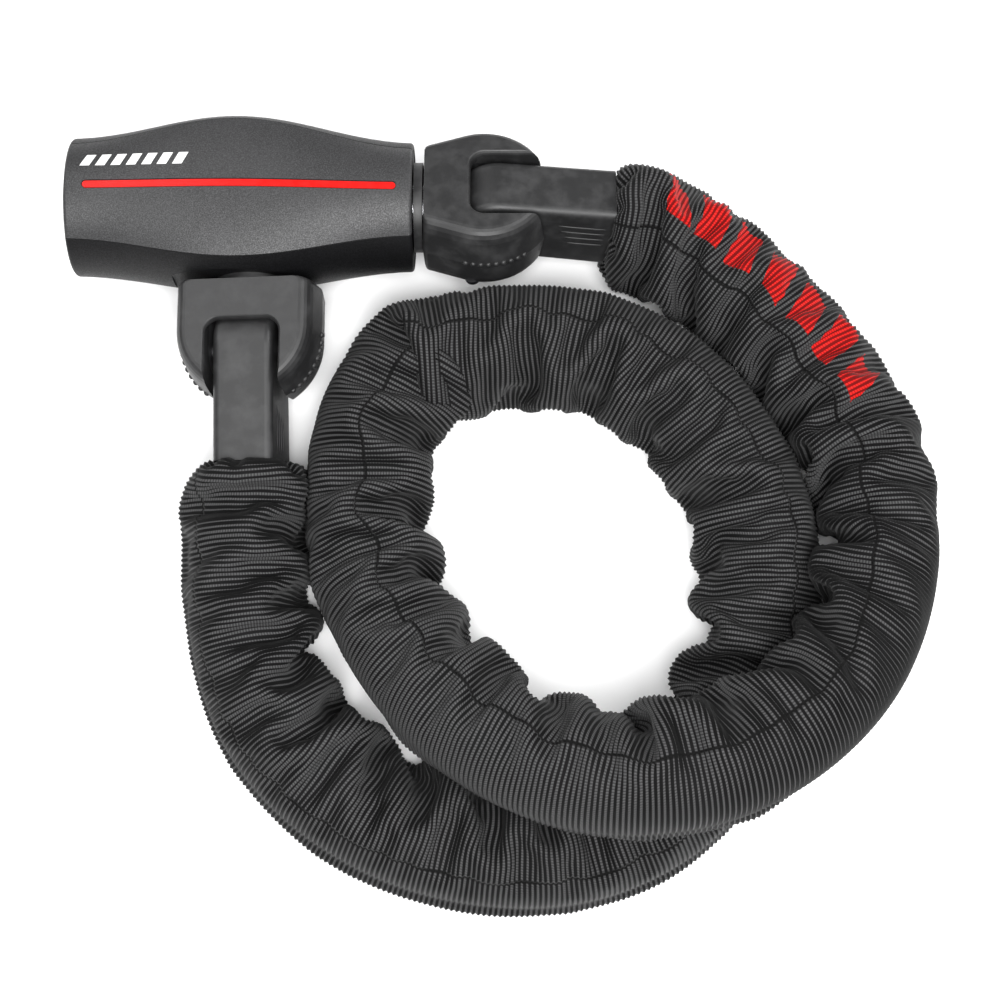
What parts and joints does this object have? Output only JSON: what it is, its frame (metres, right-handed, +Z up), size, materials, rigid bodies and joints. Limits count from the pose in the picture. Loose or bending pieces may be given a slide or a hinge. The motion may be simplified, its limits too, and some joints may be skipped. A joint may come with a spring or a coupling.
{
  "type": "chain lock",
  "caption": "Barrel-shaped lock head with a swivelling bolt cap and a fixed swivel cap, joined by a hardened steel chain in a ribbed fabric sleeve.",
  "frame": {"origin": "centre of the bottom of the lock head and its two end caps, on the surface they lie on; the sleeved chain is not counted", "axes": "+X along the bolt, from the key end to the bolt cap; +Y away from the fixed cap; +Z up, out of the head's front face"},
  "size_m": [0.2933, 0.2683, 0.075],
  "materials": {
    "cover_front": "grained moulded plastic, dark grey",
    "cover_rear": "grained moulded plastic, near black",
    "accent": "red inlay, satin",
    "fastener": "blackened steel",
    "lock_body": "hardened steel, dark phosphate",
    "brass": "machined brass",
    "steel": "hardened, plated",
    "yoke": "forged steel",
    "chain": "hardened steel, zinc plated",
    "sleeve": "ribbed black woven nylon",
    "rubber": "moulded black rubber, soft satin"
  },
  "bodies": {
    "head": {"front_cover": "cover_front", "rear_cover": "cover_rear", "accent_strip": "accent", "key_end_plate": "cover_rear", "bolt_end_plate": "cover_rear", "cover_screws": "fastener", "lock_body": "lock_body", "latch_lid": "lock_body", "stud_pins": "fastener", "cylinder_housing": "brass", "housing_screw": "fastener", "bolt_bush": "brass", "chain_links": "chain", "sleeve": "sleeve", "sleeve_bolt_end": "sleeve"},
    "plug": {"key_plug": "brass", "wafer_discs": "brass", "cam_shaft": "steel"},
    "latch": {"latch": "steel"},
    "bolt": {"locking_bolt": "steel", "bolt_clip": "fastener", "bolt_collar": "rubber"},
    "bolt_cap": {"bolt_cap_front_shell": "rubber", "bolt_cap_rear_shell": "rubber", "bolt_cap_shell_screws": "fastener", "bolt_cap_yoke": "yoke", "bolt_cap_pin": "steel", "bolt_cap_end_link": "chain", "bolt_cap_boot": "rubber"},
    "fixed_cap": {"fixed_front_shell": "rubber", "fixed_rear_shell": "rubber", "fixed_shell_screws": "fastener", "fixed_yoke": "yoke", "fixed_pin": "steel", "fixed_end_link": "chain", "fixed_boot": "rubber", "fixed_washer": "rubber"}
  },
  "joints": [
    {"name": "key_turn", "type": "hinge", "parent": "head", "child": "plug", "pos_m": [-0.092, 0.0382, 0.025], "axis": [1, 0, 0], "range_deg": [0, 90]},
    {"name": "latch_drop", "type": "slide", "parent": "head", "child": "latch", "axis": [0, 0, -1], "range_m": [0, 0.00261]},
    {"name": "bolt_draw", "type": "slide", "parent": "head", "child": "bolt", "axis": [1, 0, 0], "range_m": [0, 0.036], "deforming": ["sleeve_bolt_end", "chain_links"]},
    {"name": "bolt_cap_swivel", "type": "hinge", "parent": "bolt", "child": "bolt_cap", "pos_m": [0.028, 0.0382, 0.025], "axis": [1, 0, 0], "range_deg": [-45, 45]},
    {"name": "fixed_cap_swivel", "type": "hinge", "parent": "head", "child": "fixed_cap", "pos_m": [-0.039, 0.0182, 0.025], "axis": [0, -1, 0], "range_deg": [-20, 20]}
  ],
  "couplings": [
    {"joint": "latch_drop", "follows": "key_turn", "m_per_rad": 0.0016552}
  ]
}
